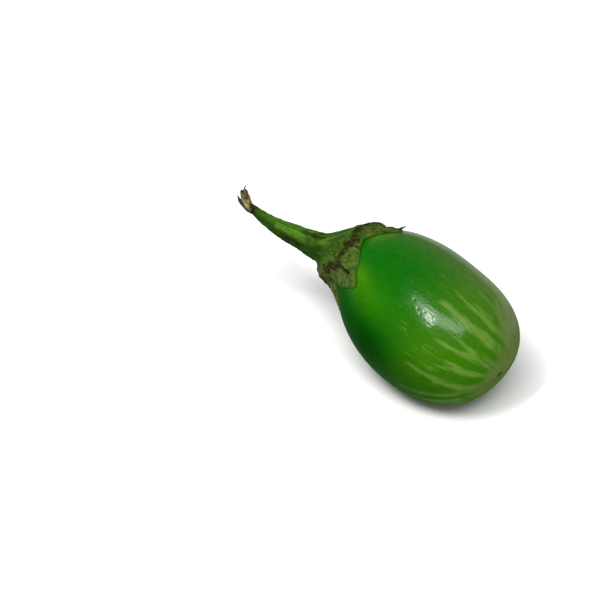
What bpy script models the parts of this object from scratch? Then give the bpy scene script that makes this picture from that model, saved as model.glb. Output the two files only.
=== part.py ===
"""A garden egg as picked: one smooth berry lying on its side, and the calyx and stem that grew as one piece.

Lengths are metres. The berry is described in its own axes: x runs from the calyx end to the blossom end,
y to its side, z up. An empty then leans it, blossom end down, onto a small flat spot at the origin.
"""

from math import cos, pi, radians, sin

import bmesh
import bpy
import numpy as np

# Berry: a round section on each of two superellipse halves, whose middle line sags towards the belly.
GIRTH_RADIUS = 0.02485
BLOSSOM_HALF = 0.03266
CALYX_HALF = 0.03583
BLOSSOM_FULLNESS = 2.36
CALYX_FULLNESS = 2.17
BELLY_SAG = 0.00348
LEAN = radians(11.6)
FLAT_DEPTH = 0.0013
BERRY_RINGS = 30
BERRY_SIDES = 64
PROFILE_STEPS = 400

# Calyx: a cup on the berry's shoulder with pointed lobes, and a raised crust where the stem's funnel ends.
GAP = 0.00035
CALYX_SIDES = 60
CUP_REACH = 0.0134
EDGE_THICKNESS = 0.0007
LOBE_SLOPE = 1.5
TIP_LIFT = 0.0004
TIP_LIFT_FROM = 0.019
TIP_LIFT_TO = 0.026
CREASE_REACH = 0.0129
CREASE_HEIGHT = 0.0030
CRUST_REACH = 0.0115
CRUST_HEIGHT = 0.0045
CRUST_SWELL = 0.0030
CREASE_SWELL = 0.0016
SWELL_ANGLE = radians(215)
UNDERSIDE_RINGS = 7
LOBE_RINGS = 6
# Each lobe: the angle of its middle round the berry, half its width in degrees, how far its tip reaches.
LOBES = (
    (65, 30, 0.0252),
    (155, 47, 0.0272),
    (227, 36, 0.0250),
    (293, 34, 0.0265),
    (359, 35, 0.0250),
)
LOBE_SHARPNESS = 1.12

# Stem: its middle line in the berry's axes, from the calyx pole, and its radius along that line.
STEM_LINE = (
    (0.0000, -0.0009, -0.0010),
    (-0.0084, -0.0049, -0.0032),
    (-0.0199, -0.0083, -0.0048),
    (-0.0348, -0.0111, -0.0055),
    (-0.0421, -0.0125, -0.0040),
)
STEM_RADII = (
    (0.0135, 0.0049),
    (0.0205, 0.0036),
    (0.0275, 0.0031),
    (0.0330, 0.0025),
    (0.0380, 0.0020),
    (0.0438, 0.0013),
)
STEM_DOME = 0.0006
STEM_RINGS = 12
FUNNEL_RINGS = 6
FUNNEL_INWARD = 0.0085
FUNNEL_OUTWARD = 0.0021
FUNNEL_ALONG = 0.0100
STEM_RIDGES = 5
RIDGE_SHARE = 0.07
RIDGE_TURN = 1.0

# Dried end: splinters of the torn stem, each a line of points in the berry's axes with the radius there.
SPLINTER_SIDES = 8
HUSK = (
    ((-0.0411, -0.0123, -0.0046), 0.0008),
    ((-0.0432, -0.0125, -0.0036), 0.0013),
    ((-0.0448, -0.0122, -0.0024), 0.0016),
    ((-0.0462, -0.0117, -0.0015), 0.0013),
    ((-0.0469, -0.0115, -0.0007), 0.0006),
)
FIBRE = (
    ((-0.0463, -0.0115, -0.0011), 0.0004),
    ((-0.0471, -0.0109, -0.0002), 0.00035),
    ((-0.0472, -0.0093, 0.0011), 0.0003),
)
STRIP = (
    ((-0.0403, -0.0128, -0.0052), 0.0008),
    ((-0.0433, -0.0136, -0.0043), 0.0006),
    ((-0.0455, -0.0139, -0.0032), 0.0005),
    ((-0.0475, -0.0138, -0.0021), 0.0003),
)

BERRY_COLOUR = (0.035, 0.16, 0.008, 1)
BERRY_ROUGHNESS = 0.28
CALYX_COLOUR = (0.06, 0.12, 0.02, 1)
CALYX_ROUGHNESS = 0.75
SMOOTH_ANGLE = radians(40)


def clear_scene():
    for item in list(bpy.data.objects):
        bpy.data.objects.remove(item)


def material(name, colour, roughness):
    made = bpy.data.materials.new(name)
    made.use_nodes = True
    shader = made.node_tree.nodes["Principled BSDF"]
    shader.inputs["Base Color"].default_value = colour
    shader.inputs["Roughness"].default_value = roughness
    shader.inputs["Metallic"].default_value = 0
    made.diffuse_color = colour
    return made


def half_profile(half, fullness, turn):
    """Place along the axis and radius of a superellipse half, for turns from its widest ring to its pole."""
    along = half * np.sin(turn)
    return along, GIRTH_RADIUS * (1 - np.sin(turn) ** fullness) ** (1 / fullness)


def berry_profile():
    """Axis position and radius from the calyx pole to the blossom pole, with the arc length to each point."""
    turn = np.linspace(0, pi / 2, PROFILE_STEPS)
    calyx_x, calyx_r = half_profile(CALYX_HALF, CALYX_FULLNESS, turn[::-1])
    blossom_x, blossom_r = half_profile(BLOSSOM_HALF, BLOSSOM_FULLNESS, turn[1:])
    x = np.concatenate([-calyx_x, blossom_x])
    r = np.concatenate([calyx_r, blossom_r])
    arc = np.concatenate([[0], np.cumsum(np.hypot(np.diff(x), np.diff(r)))])
    return x, r, arc


PROFILE_X, PROFILE_R, PROFILE_ARC = berry_profile()
PROFILE_DX = np.gradient(PROFILE_X, PROFILE_ARC)
PROFILE_DR = np.gradient(PROFILE_R, PROFILE_ARC)


def on_berry(arc, angle, height=0.0):
    """The point at this arc length from the calyx pole and angle round the axis, raised along the normal."""
    x, r, dx, dr = (
        np.interp(arc, PROFILE_ARC, values)
        for values in (PROFILE_X, PROFILE_R, PROFILE_DX, PROFILE_DR)
    )
    rise = BELLY_SAG * (x / BLOSSOM_HALF) ** 2
    slope = 2 * BELLY_SAG * x / BLOSSOM_HALF**2
    normal = np.array([-(dr + slope * dx * sin(angle)), dx * cos(angle), dx * sin(angle)])
    normal /= np.linalg.norm(normal)
    return np.array([x, r * cos(angle), r * sin(angle) + rise]) + height * normal


LEANED = np.array([[cos(LEAN), 0, sin(LEAN)], [0, 1, 0], [-sin(LEAN), 0, cos(LEAN)]])


def rest_point():
    """The middle of the flat spot in the berry's axes: above the lowest point of the leaning belly."""
    belly = np.array([on_berry(arc, -pi / 2) for arc in PROFILE_ARC])
    lowest = (belly @ LEANED.T)[:, 2].argmin()
    return belly[lowest] + FLAT_DEPTH * LEANED[2]


def stand():
    """The empty that holds the berry's axes: leaning, with the flat spot's middle at the world's origin."""
    made = bpy.data.objects.new("stand", None)
    made.rotation_euler = (0, LEAN, 0)
    made.location = -LEANED @ rest_point()
    bpy.context.scene.collection.objects.link(made)
    return made


def add_object(name, bm, finish):
    bmesh.ops.recalc_face_normals(bm, faces=bm.faces)
    mesh = bpy.data.meshes.new(name)
    bm.to_mesh(mesh)
    bm.free()
    mesh.shade_smooth()
    mesh.set_sharp_from_angle(angle=SMOOTH_ANGLE)
    mesh.materials.append(finish)
    made = bpy.data.objects.new(name, mesh)
    bpy.context.scene.collection.objects.link(made)
    return made


def join_rings(bm, rings, first_cap=None, last_cap=None):
    """Skins rings of equal length with quads, and closes each end with a fan to a point or with one face."""
    rows = [[bm.verts.new(point) for point in ring] for ring in rings]
    for lower, upper in zip(rows, rows[1:]):
        for i in range(len(lower)):
            j = (i + 1) % len(lower)
            bm.faces.new((lower[i], lower[j], upper[j], upper[i]))
    for row, cap in ((rows[0], first_cap), (rows[-1], last_cap)):
        if cap is None:
            bm.faces.new(row)
            continue
        middle = bm.verts.new(cap)
        for i in range(len(row)):
            bm.faces.new((row[i], row[(i + 1) % len(row)], middle))


def build_berry():
    bm = bmesh.new()
    angles = np.linspace(0, 2 * pi, BERRY_SIDES, endpoint=False)
    arcs = np.linspace(0, PROFILE_ARC[-1], BERRY_RINGS + 2)
    rings = [[on_berry(arc, angle) for angle in angles] for arc in arcs[1:-1]]
    join_rings(bm, rings, on_berry(0, 0), on_berry(PROFILE_ARC[-1], 0))
    below = {"plane_co": rest_point(), "plane_no": -LEANED[2], "clear_outer": True}
    cut = bmesh.ops.bisect_plane(bm, geom=bm.verts[:] + bm.edges[:] + bm.faces[:], **below)
    edges = [item for item in cut["geom_cut"] if isinstance(item, bmesh.types.BMEdge)]
    bmesh.ops.contextual_create(bm, geom=edges)
    return add_object("fruit", bm, material("green_skin", BERRY_COLOUR, BERRY_ROUGHNESS))


def lobe_reach(angle):
    """How far the calyx margin lies from the pole at this angle: the cup, or the lobe that stands there."""
    reach = CUP_REACH
    for middle, half_width, tip in LOBES:
        away = abs((np.degrees(angle) - middle + 180) % 360 - 180)
        share = max(0.0, 1 - away / half_width) ** LOBE_SHARPNESS
        reach = max(reach, CUP_REACH + share * (tip - CUP_REACH))
    return reach


def tip_lift(arc):
    return TIP_LIFT * np.clip((arc - TIP_LIFT_FROM) / (TIP_LIFT_TO - TIP_LIFT_FROM), 0, 1) ** 2


def bulge(angle):
    """From 0 to 1, how much of its extra height the calyx has at this angle: it bulges on one side."""
    return (0.5 + 0.5 * cos(angle - SWELL_ANGLE)) ** 2


def lobe_height(share, arc, angle):
    """Outer height over the berry: thin at the margin, where share is 0, thick at the crease, at 1."""
    edge = GAP + EDGE_THICKNESS
    crease = CREASE_HEIGHT + CREASE_SWELL * bulge(angle)
    return edge + tip_lift(arc) + (crease - edge) * share**LOBE_SLOPE


def spline(points, at):
    """The smooth curve through these points, at a distance counted along their chords, with its direction."""
    points = np.asarray(points, float)
    reach = np.concatenate([[0], np.cumsum(np.linalg.norm(np.diff(points, axis=0), axis=1))])
    slopes = np.gradient(points, reach, axis=0)
    where = np.clip(at, 0, reach[-1])
    i = min(int(np.searchsorted(reach, where, side="right")) - 1, len(reach) - 2)
    span = reach[i + 1] - reach[i]
    t = (where - reach[i]) / span
    value = (
        (2 * t**3 - 3 * t**2 + 1) * points[i]
        + (t**3 - 2 * t**2 + t) * span * slopes[i]
        + (3 * t**2 - 2 * t**3) * points[i + 1]
        + (t**3 - t**2) * span * slopes[i + 1]
    )
    rate = (
        (6 * t**2 - 6 * t) / span * (points[i] - points[i + 1])
        + (3 * t**2 - 4 * t + 1) * slopes[i]
        + (3 * t**2 - 2 * t) * slopes[i + 1]
    )
    return value, rate / np.linalg.norm(rate)


STEM_START = STEM_RADII[0][0]
STEM_END = STEM_RADII[-1][0]
CALYX_POLE = on_berry(0, 0)


def stem_radius(along, angle):
    places, radii = zip(*STEM_RADII)
    return np.interp(along, places, radii) * (1 + RIDGE_SHARE * cos(STEM_RIDGES * angle + RIDGE_TURN))


def stem_point(along, angle):
    """A point on the stem's skin, its angle counted as round the berry, and the stem's direction there."""
    middle, direction = spline(STEM_LINE, along)
    across = np.array([0, 1, 0]) - direction[1] * direction
    across /= np.linalg.norm(across)
    upward = np.cross(across, direction)
    radius = stem_radius(along, angle)
    return CALYX_POLE + middle + radius * (cos(angle) * across + sin(angle) * upward), direction


def funnel_point(share, angle):
    """A point between the calyx's crust and the stem's first ring, on a curve with the slope of each."""
    height = CRUST_HEIGHT + CRUST_SWELL * bulge(angle)
    start = on_berry(CRUST_REACH, angle, height)
    outward = (start - on_berry(CRUST_REACH, angle)) / height
    inward = on_berry(CRUST_REACH - GAP, angle, height) - start
    inward /= np.linalg.norm(inward)
    end, direction = stem_point(STEM_START, angle)
    leave = FUNNEL_INWARD * inward + FUNNEL_OUTWARD * outward
    arrive = FUNNEL_ALONG * direction
    near = share**2 * (3 - 2 * share)
    return (1 - near) * start + near * end + share * (1 - share) * ((1 - share) * leave - share * arrive)


def calyx_rings():
    """The rings from the middle of the underside out to the margin, back to the crust and up the stem."""
    angles = radians(LOBES[0][0]) + np.linspace(0, 2 * pi, CALYX_SIDES, endpoint=False)
    margins = [lobe_reach(angle) for angle in angles]
    rings = []
    for share in np.linspace(0, 1, UNDERSIDE_RINGS + 1)[1:]:
        rings.append([
            on_berry(share * margin, angle, GAP + tip_lift(share * margin))
            for angle, margin in zip(angles, margins)
        ])
    for share in np.linspace(0, 1, LOBE_RINGS):
        rings.append([])
        for angle, margin in zip(angles, margins):
            arc = margin + share * (CREASE_REACH - margin)
            rings[-1].append(on_berry(arc, angle, lobe_height(share, arc, angle)))
    for share in np.linspace(0, 1, FUNNEL_RINGS + 1):
        rings.append([funnel_point(share, angle) for angle in angles])
    for along in np.linspace(STEM_START, STEM_END, STEM_RINGS + 1)[1:]:
        rings.append([stem_point(along, angle)[0] for angle in angles])
    return rings


def build_splinter(stations):
    """A tapering splinter of the torn stem through these points, with the radius given at each."""
    points = CALYX_POLE + np.array([point for point, _ in stations])
    directions = np.gradient(points, axis=0)
    rings = []
    for middle, direction, (_, radius) in zip(points, directions, stations):
        across = np.cross(direction, [0, 1, 0])
        across /= np.linalg.norm(across)
        beside = np.cross(direction, across) / np.linalg.norm(direction)
        rings.append([
            middle + radius * (cos(turn) * across + sin(turn) * beside)
            for turn in np.linspace(0, 2 * pi, SPLINTER_SIDES, endpoint=False)
        ])
    bm = bmesh.new()
    join_rings(bm, rings)
    return add_object("splinter", bm, bpy.data.materials["calyx_and_stem"])


def join_splinters(base, splinters):
    """Unites the base with the loose splinters in one Boolean, applies it and removes the splinters."""
    loose = bpy.data.collections.new("splinters")
    bpy.context.scene.collection.children.link(loose)
    for splinter in splinters:
        bpy.context.scene.collection.objects.unlink(splinter)
        loose.objects.link(splinter)
    union = base.modifiers.new("join_splinters", "BOOLEAN")
    union.operation = "UNION"
    union.operand_type = "COLLECTION"
    union.collection = loose
    bpy.context.view_layer.update()
    graph = bpy.context.evaluated_depsgraph_get()
    base.data = bpy.data.meshes.new_from_object(base.evaluated_get(graph))
    base.modifiers.clear()
    for splinter in splinters:
        bpy.data.objects.remove(splinter)
    bpy.data.collections.remove(loose)


def build_calyx_and_stem():
    finish = material("calyx_and_stem", CALYX_COLOUR, CALYX_ROUGHNESS)
    bm = bmesh.new()
    end, direction = spline(STEM_LINE, STEM_END)
    join_rings(bm, calyx_rings(), on_berry(0, 0, GAP), CALYX_POLE + end + STEM_DOME * direction)
    base = add_object("calyx_and_stem", bm, finish)
    join_splinters(base, [build_splinter(stations) for stations in (HUSK, FIBRE, STRIP)])
    return base


clear_scene()
standing = stand()
for piece in (build_berry(), build_calyx_and_stem()):
    piece.parent = standing
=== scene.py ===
"""The looks of a garden egg as picked: a glossy striped berry on its side, its calyx and its curved stem.

Lengths are metres, and lengths named _mm are millimetres. The berry has its own axes: x runs from the calyx
end to the blossom end, y to its side, z up. A place on its skin is an arc, the distance from the calyx pole
along the skin, and an angle round the axis. The berry leans, blossom end down, on its small flat spot, which
lies at the world's origin.
"""

import logging
from dataclasses import dataclass
from enum import Enum
from functools import cached_property
from math import cos, pi, radians, sin
from typing import Any, Callable, Sequence

import bmesh
import bpy
import numpy as np
from bpy.types import Material, Mesh, NodeSocket, Object
from mathutils import Matrix, Vector, noise


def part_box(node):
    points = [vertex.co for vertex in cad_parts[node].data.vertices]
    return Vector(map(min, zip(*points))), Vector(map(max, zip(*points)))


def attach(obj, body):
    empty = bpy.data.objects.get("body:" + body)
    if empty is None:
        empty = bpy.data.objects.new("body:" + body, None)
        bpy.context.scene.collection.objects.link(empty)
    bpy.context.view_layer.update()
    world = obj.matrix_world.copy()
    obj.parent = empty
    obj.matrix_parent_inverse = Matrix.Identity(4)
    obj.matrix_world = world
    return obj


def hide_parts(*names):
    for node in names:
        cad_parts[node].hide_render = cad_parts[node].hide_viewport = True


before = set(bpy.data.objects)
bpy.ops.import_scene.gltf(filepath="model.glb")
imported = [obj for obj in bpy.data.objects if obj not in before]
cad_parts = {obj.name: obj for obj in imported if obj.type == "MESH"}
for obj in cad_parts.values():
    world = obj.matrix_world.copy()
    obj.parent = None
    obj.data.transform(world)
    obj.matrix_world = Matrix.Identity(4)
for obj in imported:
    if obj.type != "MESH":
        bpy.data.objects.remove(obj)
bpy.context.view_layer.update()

Array = np.ndarray
Colour = tuple[float, float, float]
Point = tuple[float, float, float]
Span = tuple[float, float]

MM = 1000.0
BODY = "root"
LOG = logging.getLogger("garden_egg")
HERMITE = np.array([(2, -3, 0, 1), (-2, 3, 0, 0), (1, -2, 1, 0), (1, -1, 0, 0)])


def smooth_share(value: Array | float, low: float, high: float) -> Array:
    """From 0 at low to 1 at high, with an even start and end."""
    share = np.clip((np.asarray(value, float) - low) / (high - low), 0, 1)
    return share * share * (3 - 2 * share)


def hump(value: Array | float, middle: float, half_width: float) -> Array:
    """A bell that is 1 at the middle and falls to about a third at half its width."""
    return np.exp(-(((np.asarray(value, float) - middle) / half_width) ** 2))


def turn_away(angle: Array | float, middle: float) -> Array:
    """The signed angle in degrees from a middle given in degrees to an angle given in radians."""
    return (np.degrees(angle) - middle + 180) % 360 - 180


def soft_noise(points: Array, size: float, octaves: int = 1) -> Array:
    """Smooth noise at these points, about -1 to 1.

    Args:
        points: places, the last axis holding three lengths.
        size: how large the noise's lumps are, in the unit of the points.
        octaves: how many finer layers are added.

    Returns:
        One value for each point.
    """
    flat = np.asarray(points, float).reshape(-1, 3) / size
    if octaves == 1:
        values = [noise.noise(Vector(point)) for point in flat]
    else:
        values = [noise.fractal(Vector(point), 1.0, 2.0, octaves) for point in flat]
    return np.array(values).reshape(np.shape(points)[:-1])


def unit(vectors: Array) -> Array:
    """The vectors at length one."""
    return vectors / np.linalg.norm(vectors, axis=-1, keepdims=True)


def reach_along(points: Sequence[Sequence[float]]) -> Array:
    """The distance from the first point to each of them, along the chords."""
    return np.concatenate([[0], np.cumsum(np.linalg.norm(np.diff(points, axis=0), axis=1))])


def smooth_line(points: Sequence[Sequence[float]], at: float) -> tuple[Array, Array]:
    """The smooth curve through some points, at a distance counted along their chords.

    Args:
        points: the points that the curve passes.
        at: the distance along the chords.

    Returns:
        The place there and the curve's direction.
    """
    places = np.asarray(points, float)
    reach = reach_along(places)
    slopes = np.gradient(places, reach, axis=0)
    where = np.clip(at, 0, reach[-1])
    i = min(int(np.searchsorted(reach, where, side="right")) - 1, len(reach) - 2)
    span = reach[i + 1] - reach[i]
    t = (where - reach[i]) / span
    ends = np.array([places[i], places[i + 1], span * slopes[i], span * slopes[i + 1]])
    value = HERMITE @ (t**3, t**2, t, 1) @ ends
    rate = HERMITE @ (3 * t**2, 2 * t, 1, 0) @ ends
    return value, unit(rate)


def add_piece(name: str, mesh: Mesh, finish: Material) -> Object:
    """Adds a smooth shaded object to the scene.

    Args:
        name: the object's name.
        mesh: its mesh.
        finish: its material.

    Returns:
        The object.
    """
    mesh.shade_smooth()
    mesh.materials.append(finish)
    piece = bpy.data.objects.new(name, mesh)
    bpy.context.scene.collection.objects.link(piece)
    return piece


def store_values(mesh: Mesh, values: dict[str, Array]) -> None:
    """Stores values at the mesh's points.

    Args:
        mesh: the mesh.
        values: numbers or vectors by name, one for each point.
    """
    for name, array in values.items():
        kind, key = ("FLOAT_VECTOR", "vector") if array.ndim == 2 else ("FLOAT", "value")
        layer = mesh.attributes.new(name, kind, "POINT")
        layer.data.foreach_set(key, np.ascontiguousarray(array, np.float32).ravel())


def skin_rings(name: str, rings: Array, values: dict[str, Array], folded: bool = False) -> Mesh:
    """A closed mesh over rings of points, with a fan to the middle of the first ring and of the last.

    Args:
        name: the mesh's name.
        rings: points in world axes: ring, place on the ring, and the three coordinates.
        values: numbers or vectors to store, laid out as the rings.
        folded: whether each ring is a sheet folded back on itself, whose two halves are joined at the ends
            instead of the fans.

    Returns:
        The mesh, its faces turned outward.
    """
    rows, columns = rings.shape[:2]
    start = np.arange(rows - 1)[:, None] * columns
    here = np.arange(columns)
    beside = (here + 1) % columns
    quads = np.stack([start + here, start + beside, start + columns + beside, start + columns + here], -1)
    faces = quads.reshape(-1, 4).tolist()
    first, last = rows * columns, rows * columns + 1
    top = (rows - 1) * columns
    if folded:
        near = here[: columns // 2 - 1]
        far = columns - 1 - near
        for row in (0, top):
            faces += (row + np.stack([near, near + 1, far - 1, far], -1)).tolist()
    else:
        faces += [(first, int(b), int(a)) for a, b in zip(here, beside)]
        faces += [(last, int(top + a), int(top + b)) for a, b in zip(here, beside)]

    def with_ends(array: Array) -> Array:
        """Lists the array's rings, then the means of the first and the last for the fans.

        Args:
            array: values laid out as the rings.

        Returns:
            One row for each point of the mesh.
        """
        ends = array[[0, -1]].mean(axis=1)
        flat = array.reshape(rows * columns, *array.shape[2:])
        return flat if folded else np.concatenate([flat, ends])

    mesh = bpy.data.meshes.new(name)
    mesh.from_pydata(with_ends(rings).tolist(), [], faces)
    bm = bmesh.new()
    bm.from_mesh(mesh)
    bmesh.ops.recalc_face_normals(bm, faces=bm.faces)
    bm.to_mesh(mesh)
    bm.free()
    store_values(mesh, {key: with_ends(array) for key, array in values.items()})
    return mesh


def operator(operation: str, flipped: bool = False) -> Callable[["Term", Any], "Term"]:
    """Makes the method of a term for one of Python's operators.

    Args:
        operation: the Math node's operation.
        flipped: whether the other value comes first.

    Returns:
        The method, which takes the term and the other value and gives their result.
    """

    def apply(self: "Term", other: "Term | float") -> "Term":
        """The result of a Math node on the term and another value."""
        first, second = (other, self) if flipped else (self, other)
        return self.bench.node("ShaderNodeMath", {"operation": operation}, {0: first, 1: second})

    return apply


class Term:
    """A shader socket that Python's operators join to others through Math nodes."""

    def __init__(self, bench: "Bench", socket: NodeSocket) -> None:
        """Wraps a socket of the bench's node tree."""
        self.bench = bench
        self.socket = socket

    __add__ = operator("ADD")
    __radd__ = operator("ADD", flipped=True)
    __sub__ = operator("SUBTRACT")
    __rsub__ = operator("SUBTRACT", flipped=True)
    __mul__ = operator("MULTIPLY")

    def swing(self, amount: float) -> "Term":
        """Noise from 0 to 1 as swings about 0, this far from one end to the other."""
        return (self - 0.5) * amount

    def between(self, low: float, high: float) -> "Term":
        """From 0 at low to 1 at high, with an even start and end."""
        span = {"Value": self, "From Min": low, "From Max": high}
        return self.bench.node("ShaderNodeMapRange", {"interpolation_type": "SMOOTHSTEP"}, span)


class Bench:
    """The node tree of one material, with the few calls that finishes are made of."""

    def __init__(self, name: str) -> None:
        """Starts an empty material.

        Args:
            name: the material's name.
        """
        self.material = bpy.data.materials.new(name)
        self.material.use_nodes = True
        self.tree = self.material.node_tree
        self.tree.nodes.clear()

    def node(
        self,
        kind: str,
        settings: dict[str, Any] | None = None,
        inputs: dict[str | int, Any] | None = None,
        output: int = 0,
    ) -> Term:
        """Adds a node.

        Args:
            kind: the node's type.
            settings: its settings, which are set before its sockets.
            inputs: values or terms, by the socket's name or number.
            output: the number of the socket that is given back.

        Returns:
            The wanted output.
        """
        made = self.tree.nodes.new(kind)
        for name, value in (settings or {}).items():
            setattr(made, name, value)
        for key, value in (inputs or {}).items():
            if isinstance(value, Term):
                self.tree.links.new(value.socket, made.inputs[key])
            else:
                made.inputs[key].default_value = value
        return Term(self, made.outputs[output])

    def stored(self, name: str) -> Term:
        """A number stored at the mesh's points."""
        return self.node("ShaderNodeAttribute", {"attribute_name": name}, output=2)

    def stored_vector(self, name: str) -> Term:
        """A vector stored at the mesh's points."""
        return self.node("ShaderNodeAttribute", {"attribute_name": name}, output=1)

    def place(self) -> Term:
        """The place in the object's axes, in millimetres."""
        here = self.node("ShaderNodeTexCoord", output=3)
        return self.stretch(here, (MM, MM, MM))

    def stretch(self, vector: Term, shares: Sequence[float]) -> Term:
        """The vector with each part multiplied."""
        return self.node("ShaderNodeVectorMath", {"operation": "MULTIPLY"}, {0: vector, 1: tuple(shares)})

    def grain(self, vector: Term, size: float, detail: float = 2.0, warp: float = 0.0) -> Term:
        """Noise with lumps of this size, from 0 to 1."""
        inputs = {"Vector": vector, "Scale": 1 / size, "Detail": detail, "Distortion": warp}
        return self.node("ShaderNodeTexNoise", None, inputs)

    def drawn_out(self, vector: Term, size: Span, detail: float) -> Term:
        """Noise from 0 to 1 whose lumps have this length along the vector's first part, and this width."""
        length, width = size
        return self.grain(self.stretch(vector, (1 / length, 1 / width, 1 / width)), 1.0, detail)

    def cells(self, vector: Term, size: float) -> Term:
        """The distance to the nearest of scattered points, one for each cell of this size."""
        return self.node("ShaderNodeTexVoronoi", {"feature": "F1"}, {"Vector": vector, "Scale": 1 / size})

    def mix(self, share: Term | float, first: Any, second: Any, blend: str = "MIX") -> Term:
        """Mixes two colours.

        Args:
            share: how far the second covers the first, from 0 to 1.
            first: the colour below.
            second: the colour above.
            blend: how the second is laid on.

        Returns:
            The mixed colour.
        """
        ends = [(*end, 1.0) if isinstance(end, tuple) else end for end in (first, second)]
        settings = {"data_type": "RGBA", "blend_type": blend}
        return self.node("ShaderNodeMix", settings, {0: share, 6: ends[0], 7: ends[1]}, output=2)

    def coats(self, colour: Term | Colour, *coats: tuple[Term | float, Term | Colour]) -> Term:
        """Lays coats on a colour.

        Args:
            colour: the colour below.
            coats: how far each coat covers what is below it, and its own colour, first to last.

        Returns:
            The last coat's result.
        """
        for share, coat in coats:
            colour = self.mix(share, colour, coat)
        return colour

    def shade(self, colour: Term, share: Term, tint: Colour) -> Term:
        """The colour multiplied by a tint, as far as the share says."""
        return self.mix(share, colour, self.mix(1.0, colour, tint, "MULTIPLY"))

    def bump(self, height: Term, distance: float) -> Term:
        """A surface normal tilted by a height, whose full step is this distance."""
        return self.node("ShaderNodeBump", None, {"Height": height, "Distance": distance})

    def surface(
        self, inputs: dict[str, Any], dull: Term | None = None, dull_inputs: dict[str, Any] | None = None
    ) -> Material:
        """Ends the tree in a Principled shader, or in two of them where some of the surface is duller.

        Args:
            inputs: the shader's inputs.
            dull: how far the second shader covers the first.
            dull_inputs: the inputs that the second shader has otherwise.

        Returns:
            The finished material.
        """
        shader = self.node("ShaderNodeBsdfPrincipled", None, inputs)
        if dull is not None:
            second = self.node("ShaderNodeBsdfPrincipled", None, {**inputs, **dull_inputs})
            shader = self.node("ShaderNodeMixShader", None, {0: dull, 1: shader, 2: second})
        made = self.tree.nodes.new("ShaderNodeOutputMaterial")
        self.tree.links.new(shader.socket, made.inputs["Surface"])
        return self.material


def fresh_skin(gloss: float, glow: float, glow_depth: float) -> dict[str, Any]:
    """A shader's plain numbers for fresh plant skin.

    Args:
        gloss: how strongly it reflects.
        glow: how much light passes into it.
        glow_depth: how far that light spreads, in metres.

    Returns:
        Values by the socket's name.
    """
    return {
        "IOR": 1.45,
        "Specular IOR Level": gloss,
        "Subsurface Weight": glow,
        "Subsurface Radius": (0.5, 1.0, 0.2),
        "Subsurface Scale": glow_depth,
    }


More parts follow.
